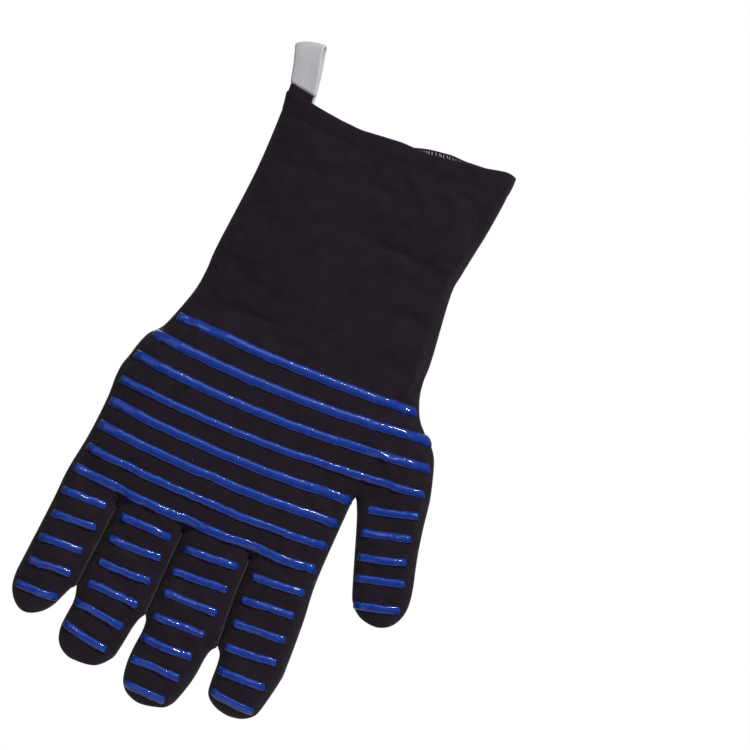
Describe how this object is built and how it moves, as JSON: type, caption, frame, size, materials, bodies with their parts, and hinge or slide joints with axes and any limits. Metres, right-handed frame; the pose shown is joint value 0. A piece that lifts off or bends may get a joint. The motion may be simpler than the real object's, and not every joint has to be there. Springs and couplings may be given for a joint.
{
  "type": "heat resistant grilling glove",
  "caption": "Long-cuffed black knitted heat resistant glove with blue silicone grip bars across the palm and digits, a light lining and a grey hanging loop at the mouth.",
  "frame": {"origin": "centre of the cuff mouth, on the plane of the mouth's edge", "axes": "+Z out of the mouth away from the fingers, -Y out of the palm face, +X towards the thumb"},
  "size_m": [0.2106, 0.0428, 0.3814],
  "materials": {
    "black_knit": "matt vertical rib knit, slightly fuzzy",
    "black_hem_knit": "matt folded knit",
    "cotton_lining": "brushed off-white cotton",
    "cotton_thread": "off-white overlock thread",
    "dark_thread": "black sewing thread",
    "grey_tape": "flat woven tape",
    "blue_silicone": "glossy printed silicone"
  },
  "bodies": {
    "cuff": {"cuff_shell": "black_knit", "cuff_lining": "cotton_lining", "cuff_hem": "black_hem_knit", "hem_stitching": "dark_thread", "hem_overlock": "cotton_thread", "loop_tab": "black_hem_knit"},
    "loop": {"hanging_loop": "grey_tape"},
    "hand": {"hand_shell": "black_knit", "hand_lining": "cotton_lining", "hand_bars_palm": "blue_silicone", "hand_bars_back": "blue_silicone"},
    "index_base": {"index_base_shell": "black_knit", "index_base_lining": "cotton_lining", "index_base_bars": "blue_silicone"},
    "index_tip": {"index_tip_shell": "black_knit", "index_tip_lining": "cotton_lining", "index_tip_bars": "blue_silicone"},
    "middle_base": {"middle_base_shell": "black_knit", "middle_base_lining": "cotton_lining", "middle_base_bars": "blue_silicone"},
    "middle_tip": {"middle_tip_shell": "black_knit", "middle_tip_lining": "cotton_lining", "middle_tip_bars": "blue_silicone"},
    "ring_base": {"ring_base_shell": "black_knit", "ring_base_lining": "cotton_lining", "ring_base_bars": "blue_silicone"},
    "ring_tip": {"ring_tip_shell": "black_knit", "ring_tip_lining": "cotton_lining", "ring_tip_bars": "blue_silicone"},
    "little_base": {"little_base_shell": "black_knit", "little_base_lining": "cotton_lining", "little_base_bars": "blue_silicone"},
    "little_tip": {"little_tip_shell": "black_knit", "little_tip_lining": "cotton_lining", "little_tip_bars": "blue_silicone"},
    "thumb_base": {"thumb_base_shell": "black_knit", "thumb_base_lining": "cotton_lining", "thumb_base_bars": "blue_silicone"},
    "thumb_tip": {"thumb_tip_shell": "black_knit", "thumb_tip_lining": "cotton_lining", "thumb_tip_bars": "blue_silicone"}
  },
  "joints": [
    {"name": "wrist_bend", "type": "hinge", "parent": "cuff", "child": "hand", "pos_m": [-0.00575, 0, -0.121], "axis": [-1, 0, 0], "range_deg": [-40, 40], "stiffness_Nm_per_rad": 0.05},
    {"name": "index_knuckle", "type": "hinge", "parent": "hand", "child": "index_base", "pos_m": [0.03, -0.008, -0.2465], "axis": [-1, 0, 0], "range_deg": [-10, 50], "stiffness_Nm_per_rad": 0.01},
    {"name": "index_middle", "type": "hinge", "parent": "index_base", "child": "index_tip", "pos_m": [0.0303, -0.008, -0.29], "axis": [-1, 0, -0.007], "range_deg": [-15, 70], "stiffness_Nm_per_rad": 0.005},
    {"name": "middle_knuckle", "type": "hinge", "parent": "hand", "child": "middle_base", "pos_m": [-0.0113, -0.008, -0.2465], "axis": [-1, 0, 0], "range_deg": [-10, 50], "stiffness_Nm_per_rad": 0.01},
    {"name": "middle_middle", "type": "hinge", "parent": "middle_base", "child": "middle_tip", "pos_m": [-0.01337, -0.008, -0.30296], "axis": [-0.9993, 0, 0.0366], "range_deg": [-15, 70], "stiffness_Nm_per_rad": 0.005},
    {"name": "ring_knuckle", "type": "hinge", "parent": "hand", "child": "ring_base", "pos_m": [-0.0508, -0.008, -0.2465], "axis": [-1, 0, 0], "range_deg": [-10, 50], "stiffness_Nm_per_rad": 0.01},
    {"name": "ring_middle", "type": "hinge", "parent": "ring_base", "child": "ring_tip", "pos_m": [-0.05337, -0.008, -0.30094], "axis": [-0.9989, 0, 0.0471], "range_deg": [-15, 70], "stiffness_Nm_per_rad": 0.005},
    {"name": "little_knuckle", "type": "hinge", "parent": "hand", "child": "little_base", "pos_m": [-0.0864, -0.008, -0.2465], "axis": [-1, 0, 0], "range_deg": [-10, 50], "stiffness_Nm_per_rad": 0.01},
    {"name": "little_middle", "type": "hinge", "parent": "little_base", "child": "little_tip", "pos_m": [-0.09155, -0.008, -0.28617], "axis": [-0.9917, 0, 0.1288], "range_deg": [-15, 70], "stiffness_Nm_per_rad": 0.005},
    {"name": "thumb_spread", "type": "hinge", "parent": "hand", "child": "thumb_base", "pos_m": [0.0804, 0, -0.18558], "axis": [0, -1, 0], "range_deg": [-5, 35], "stiffness_Nm_per_rad": 0.01},
    {"name": "thumb_curl", "type": "hinge", "parent": "thumb_base", "child": "thumb_tip", "pos_m": [0.08023, -0.007, -0.22623], "axis": [-0.9703, 0, -0.2419], "range_deg": [-10, 55], "stiffness_Nm_per_rad": 0.005},
    {"name": "loop_flop", "type": "hinge", "parent": "cuff", "child": "loop", "pos_m": [-0.061, -0.0095, 0.007], "axis": [0.9092, -0.3859, -0.1564], "range_deg": [-80, 80], "stiffness_Nm_per_rad": 0.001}
  ],
  "couplings": [
    {"joint": "index_middle", "follows": "index_knuckle", "ratio": 1.3},
    {"joint": "middle_middle", "follows": "middle_knuckle", "ratio": 1.3},
    {"joint": "ring_middle", "follows": "ring_knuckle", "ratio": 1.3},
    {"joint": "little_middle", "follows": "little_knuckle", "ratio": 1.3}
  ]
}
